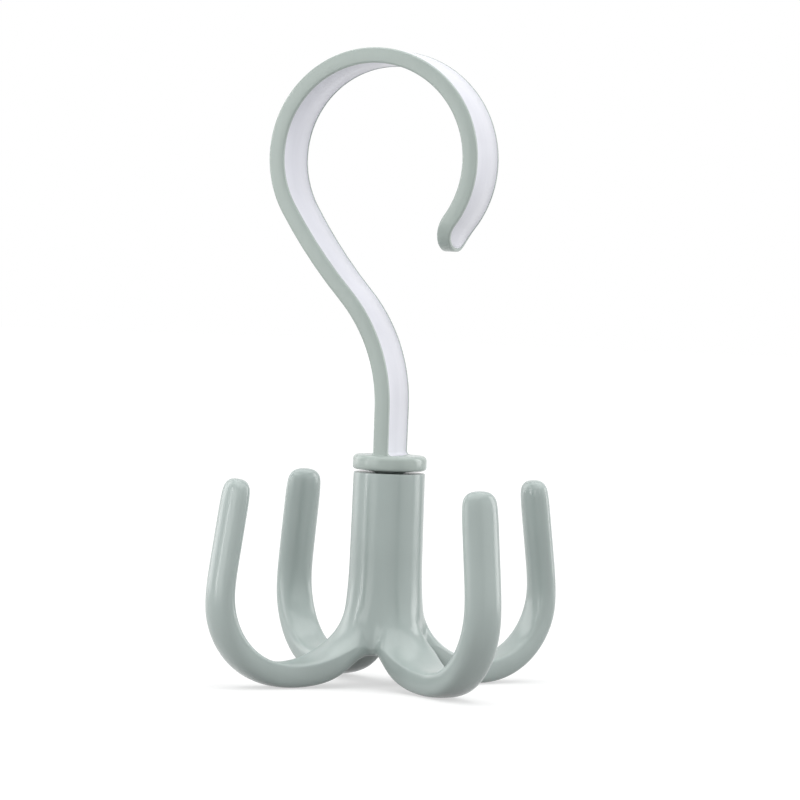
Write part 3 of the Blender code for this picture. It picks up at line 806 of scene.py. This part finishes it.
def moulded_plastic(name, tint, roughness, waviness):
    """Gloss-moulded polypropylene: an even colour under a soft gloss that is not quite flat.

    The skin copies a polished mould, so highlights are soft and slightly wavy. The melt's flow leaves
    faint streaks along it, one to two millimetres apart, and the skin has shallow sinks.
    """
    made = bpy.data.materials.new(name)
    made.use_nodes = True
    tree = made.node_tree
    shader = tree.nodes["Principled BSDF"]
    shader.inputs["IOR"].default_value = PLASTIC_IOR
    shader.inputs["Metallic"].default_value = 0.0
    place = add_node(tree, "ShaderNodeTexCoord").outputs["Object"]
    # Streaks: about 1.7 mm apart across the flow and thirty times as long along it
    flow = add_node(tree, "ShaderNodeMapping", {"Scale": (600, 600, 20)}, Vector=place)
    streaks = add_node(tree, "ShaderNodeTexNoise", {"Scale": 1.0, "Detail": 2.0},
                       Vector=flow.outputs["Vector"])
    # Clouds: pigment that isn't mixed quite evenly, over about 12 mm
    clouds = add_node(tree, "ShaderNodeTexNoise", {"Scale": 85.0, "Detail": 3.0}, Vector=place)
    # Sinks: waviness of the skin, over about 5 mm
    sinks = add_node(tree, "ShaderNodeTexNoise", {"Scale": 200.0, "Detail": 1.0}, Vector=place)
    # Skin: the mould's fine polish, over about 0.4 mm, drawn as coarse as it needs to show
    skin = add_node(tree, "ShaderNodeTexNoise", {"Scale": 2500.0, "Detail": 2.0}, Vector=place)

    mixed = add_node(tree, "ShaderNodeMath", {"operation": "MULTIPLY_ADD"})
    tree.links.new(streaks.outputs["Fac"], mixed.inputs[0])
    mixed.inputs[1].default_value = STREAK_WEIGHT
    tree.links.new(clouds.outputs["Fac"], mixed.inputs[2])
    ramp = add_node(tree, "ShaderNodeValToRGB", Fac=mixed.outputs["Value"])
    for end, place_on_ramp, share in zip(ramp.color_ramp.elements, (0.45, 1.0), PIGMENT_SPREAD):
        end.position = place_on_ramp
        end.color = (*[min(1.0, c * share) for c in tint], 1.0)
    tree.links.new(ramp.outputs["Color"], shader.inputs["Base Color"])

    least, most = [roughness * share for share in ROUGHNESS_SPREAD]
    gloss = add_node(tree, "ShaderNodeMapRange", {"To Min": least, "To Max": most},
                     Value=clouds.outputs["Fac"])
    tree.links.new(gloss.outputs["Result"], shader.inputs["Roughness"])

    wavy = add_node(tree, "ShaderNodeBump", {"Strength": waviness, "Distance": 0.0004},
                    Height=sinks.outputs["Fac"])
    drawn = add_node(tree, "ShaderNodeBump", {"Strength": 0.10, "Distance": 0.0002},
                     Height=streaks.outputs["Fac"], Normal=wavy.outputs["Normal"])
    fine = add_node(tree, "ShaderNodeBump", {"Strength": 0.04, "Distance": 0.00005},
                    Height=skin.outputs["Fac"], Normal=drawn.outputs["Normal"])
    tree.links.new(fine.outputs["Normal"], shader.inputs["Normal"])
    return made


def studio_white(name, tint, glow, dip, lamp_height):
    """Painted studio floor: matt pale grey, which shows as white to the camera and keeps its shadows.

    The lamp overhead fades over the floor, and the glow makes up for that from the middle outwards.
    """
    made = bpy.data.materials.new(name)
    made.use_nodes = True
    tree = made.node_tree
    shader = tree.nodes["Principled BSDF"]
    place = add_node(tree, "ShaderNodeTexCoord").outputs["Object"]
    # Grain: the paint's faint clouds, over about 25 mm
    grain = add_node(tree, "ShaderNodeTexNoise", {"Scale": 40.0}, Vector=place)
    ramp = add_node(tree, "ShaderNodeValToRGB", Fac=grain.outputs["Fac"])
    ramp.color_ramp.elements[0].color = (*[c * 0.99 for c in tint], 1.0)
    ramp.color_ramp.elements[1].color = (*tint, 1.0)
    tree.links.new(ramp.outputs["Color"], shader.inputs["Base Color"])
    shader.inputs["Roughness"].default_value = 0.9
    shader.inputs["Specular IOR Level"].default_value = 0.0
    # glow - dip / (1 + (distance from the middle / lamp height)^2)^2, where it is seen directly
    reach = add_node(tree, "ShaderNodeVectorMath", {"operation": "LENGTH"}, Vector=place)
    reach = reach.outputs["Value"]
    for work, value in (("DIVIDE", lamp_height), ("POWER", 2.0), ("ADD", 1.0), ("POWER", -2.0),
                        ("MULTIPLY", -dip), ("ADD", glow), ("MULTIPLY", seen_directly(tree))):
        step = add_node(tree, "ShaderNodeMath", {"operation": work})
        tree.links.new(reach, step.inputs[0])
        if isinstance(value, float):
            step.inputs[1].default_value = value
        else:
            tree.links.new(value, step.inputs[1])
        reach = step.outputs["Value"]
    tree.links.new(reach, shader.inputs["Emission Strength"])
    shader.inputs["Emission Color"].default_value = (1.0, 1.0, 1.0, 1.0)
    return made


def seen_directly(tree):
    """1 for rays from the camera and for those that gloss or glass sends on, otherwise 0."""
    path = add_node(tree, "ShaderNodeLightPath")
    seen = path.outputs["Is Camera Ray"]
    for way in ("Is Glossy Ray", "Is Transmission Ray"):
        either = add_node(tree, "ShaderNodeMath", {"operation": "MAXIMUM"})
        tree.links.new(seen, either.inputs[0])
        tree.links.new(path.outputs[way], either.inputs[1])
        seen = either.outputs["Value"]
    return seen


# The stage

# Radius of the floor and sides of its circle; the camera's sensor and the nearest and farthest it sees
FLOOR_RADIUS, FLOOR_SIDES = 4.0, 96
SENSOR_WIDTH, NEAREST, FARTHEST = 36.0, 0.01, 20.0
# The floor's paint; its glow far out, how much less it has in the middle, and the lamp height from
# which the glow's spread is worked out
FLOOR_PAINT = linear("#A8A8A8")
FLOOR_GLOW, GLOW_DIP, GLOW_HEIGHT = 0.850, 0.28, 0.95
# (name, degrees from the camera's azimuth, degrees above the horizon, distance, (width, height), watts)
LAMPS = (
    ("front_fill", 5, 12, 1.00, (0.90, 0.90), 0.8),
    ("right_fill", 62, 8, 0.90, (0.60, 0.60), 0.8),
    ("left_box", -60, 6, 0.60, (0.50, 0.34), 1.05),
    ("left_line", -79, 2, 0.60, (0.03, 0.60), 0.60),
    ("left_rim", -122, 5, 0.70, (0.30, 0.80), 1.4),
    ("right_rim", 104, 5, 0.70, (0.30, 0.80), 2.8),
    ("overhead_box", -10, 84, 0.80, (1.30, 1.30), 8.5),
)


def lay_floor():
    """A pale floor under the claws, wide enough to reach past the picture's edges."""
    floor = start("studio_floor", bpy.ops.mesh.primitive_circle_add, vertices=FLOOR_SIDES,
                  radius=FLOOR_RADIUS, fill_type="NGON", location=(AXIS_X, 0.0, CAD_BOX[0].z))
    deselect_all()
    paint = studio_white("studio_floor_paint", FLOOR_PAINT, FLOOR_GLOW, GLOW_DIP, GLOW_HEIGHT)
    floor.data.materials.append(paint)


def whiten_room(scene, ambient):
    """A world that is white where it is seen and gives a plain soft light from all round."""
    world = bpy.data.worlds.new("white_room")
    scene.world = world
    world.use_nodes = True
    tree = world.node_tree
    light = tree.nodes["Background"]
    light.inputs["Color"].default_value = (1.0, 1.0, 1.0, 1.0)
    light.inputs["Strength"].default_value = ambient
    white = {"Color": (1.0, 1.0, 1.0, 1.0), "Strength": 1.0}
    backdrop = add_node(tree, "ShaderNodeBackground", white)
    either = add_node(tree, "ShaderNodeMixShader", Fac=seen_directly(tree))
    tree.links.new(light.outputs["Background"], either.inputs[1])
    tree.links.new(backdrop.outputs["Background"], either.inputs[2])
    tree.links.new(either.outputs["Shader"], tree.nodes["World Output"].inputs["Surface"])


def hang_lamps(azimuth):
    """The soft lamps, all turned towards the middle of the object's height."""
    aim = Vector((AXIS_X, 0.0, CAD_BOX[0].z / 2))
    for name, turn, up, reach, size, watts in LAMPS:
        side, rise = azimuth + math.radians(turn), math.radians(up)
        flat = math.cos(rise)
        away = Vector((math.sin(side) * flat, -math.cos(side) * flat, math.sin(rise)))
        bpy.ops.object.light_add(type="AREA", location=aim + away * reach)
        lamp = bpy.context.object
        lamp.name = lamp.data.name = name
        lamp.rotation_euler = away.to_track_quat("Z", "Y").to_euler()
        lamp.data.shape = "RECTANGLE"
        lamp.data.size, lamp.data.size_y = size
        lamp.data.energy = watts


def set_camera(scene, stage):
    """The camera at the photograph's angle."""
    bpy.ops.object.camera_add()
    camera = bpy.context.object
    camera.name = camera.data.name = "product_camera"
    camera.data.sensor_width = SENSOR_WIDTH
    camera.data.lens = stage.lens
    camera.data.clip_start, camera.data.clip_end = NEAREST, FARTHEST
    azimuth, distance = stage.azimuth, stage.distance
    stand = Vector((
        AXIS_X + distance * math.sin(azimuth), -distance * math.cos(azimuth), -stage.below_seat
    ))
    camera.matrix_world = Matrix.Translation(stand)
    turns = ((azimuth, "Z"), (math.pi / 2, "X"), (stage.roll, "Z"),
             (-stage.look_right, "Y"), (-stage.look_down, "X"))
    for turn, about in turns:
        camera.matrix_world = camera.matrix_world @ Matrix.Rotation(turn, 4, about)
    scene.camera = camera


# Operators

def band_foot(pin):
    """Where the band meets the flange's top face, on the swivel axis."""
    return Vector((AXIS_X, 0.0, BARREL_TOP + pin.seat_gap + pin.boss_height + pin.flange_thickness))


class CLOSETHOOK_OT_band(bpy.types.Operator):
    """Sweep the hook's band along its path and part it into the sage rim and the core, painted
    near-white as a highlight
    """

    bl_idname = "closet_hook.band"
    bl_label = "Hook band"

    def execute(self, context):
        band, pin = context.scene.closet_hook_band, context.scene.closet_hook_pin
        finishes = context.scene.closet_hook_finishes
        foot = band_foot(pin)
        rim = sweep_band(band, foot)
        thin_tip(rim, band, foot)
        core = split_band(rim, band, foot)
        sage = moulded_plastic("sage_polypropylene_hook", finishes.sage_hook, *SAGE_SKIN)
        # The core's near-white is a painted highlight of the side light on the band's broad faces
        pale = moulded_plastic("polypropylene_core_painted_highlight", finishes.painted_highlight_core, *PALE_SKIN)
        finish_piece(rim, sage, "hook", "hook_frame")
        finish_piece(core, pale, "hook", "hook_core")
        return {"FINISHED"}


class CLOSETHOOK_OT_pin(bpy.types.Operator):
    """Draw the swivel pin with its barbs out of the round flange under the band"""

    bl_idname = "closet_hook.pin"
    bl_label = "Flange and swivel pin"

    def execute(self, context):
        pin = context.scene.closet_hook_pin
        piece = model_pin(pin, band_foot(pin))
        tint = context.scene.closet_hook_finishes.sage_hook
        sage = moulded_plastic("sage_polypropylene_flange", tint, *SAGE_SKIN)
        finish_piece(piece, sage, "hook", "hook_frame")
        return {"FINISHED"}


class CLOSETHOOK_OT_base(bpy.types.Operator):
    """Draw four claws out of the barrel, round the whole off and bore it for the pin"""

    bl_idname = "closet_hook.base"
    bl_label = "Barrel and claws"

    def execute(self, context):
        base, pin = context.scene.closet_hook_base, context.scene.closet_hook_pin
        piece = model_barrel_quarter(base)
        draw_out_claw(piece, base)
        repeat_quarter()
        levels = base.smoothing
        apply_modifier(piece, "SUBSURF", levels=levels, render_levels=levels)
        bore_out(piece, base, pin)
        take_up(piece)
        piece.location = (AXIS_X, 0.0, BARREL_TOP)
        piece.rotation_euler = (0.0, 0.0, base.rest_turn)
        bpy.ops.object.transform_apply(location=True, rotation=True, scale=True)
        tint = context.scene.closet_hook_finishes.sage_base_painted_shade
        # The hook's sage a shade darker: painted shade on the barrel and the claws
        sage = moulded_plastic("sage_polypropylene_base_painted_shade", tint, *SAGE_SKIN)
        finish_piece(piece, sage, "claws", "claw_base")
        return {"FINISHED"}


class CLOSETHOOK_OT_stage(bpy.types.Operator):
    """Set up the white floor, the soft lamps and the camera"""

    bl_idname = "closet_hook.stage"
    bl_label = "Studio stage"

    def execute(self, context):
        scene, stage = context.scene, context.scene.closet_hook_stage
        scene.view_settings.view_transform = "Standard"
        lay_floor()
        whiten_room(scene, stage.ambient)
        hang_lamps(stage.azimuth)
        set_camera(scene, stage)
        return {"FINISHED"}


class CLOSETHOOK_PT_panel(bpy.types.Panel):
    """Closet hook"""

    bl_idname = "CLOSETHOOK_PT_panel"
    bl_label = "Closet hook"
    bl_space_type = "VIEW_3D"
    bl_region_type = "UI"
    bl_category = "Closet hook"

    def draw(self, context):
        for operator in OPERATORS:
            self.layout.operator(operator.bl_idname)
        for name, group, label in SETTINGS:
            box = self.layout.box()
            box.label(text=label)
            settings = getattr(context.scene, name)
            for key in settings.__annotations__:
                box.prop(settings, key)


OPERATORS = (CLOSETHOOK_OT_band, CLOSETHOOK_OT_pin, CLOSETHOOK_OT_base, CLOSETHOOK_OT_stage)
SETTINGS = (
    ("closet_hook_band", BandSizes, "Band"),
    ("closet_hook_pin", SwivelSizes, "Flange and pin"),
    ("closet_hook_base", BaseSizes, "Barrel and claws"),
    ("closet_hook_finishes", FinishColours, "Colours"),
    ("closet_hook_stage", StageSettings, "Stage"),
)
CLASSES = (*[group for name, group, label in SETTINGS], *OPERATORS, CLOSETHOOK_PT_panel)


def register():
    for made in CLASSES:
        bpy.utils.register_class(made)
    for name, group, label in SETTINGS:
        setattr(bpy.types.Scene, name, bpy.props.PointerProperty(type=group))


def unregister():
    for name, group, label in SETTINGS:
        delattr(bpy.types.Scene, name)
    for made in reversed(CLASSES):
        bpy.utils.unregister_class(made)


def main():
    register()
    bpy.ops.closet_hook.band()
    bpy.ops.closet_hook.pin()
    bpy.ops.closet_hook.base()
    bpy.ops.closet_hook.stage()
    deselect_all()


if __name__ == "__main__":
    main()
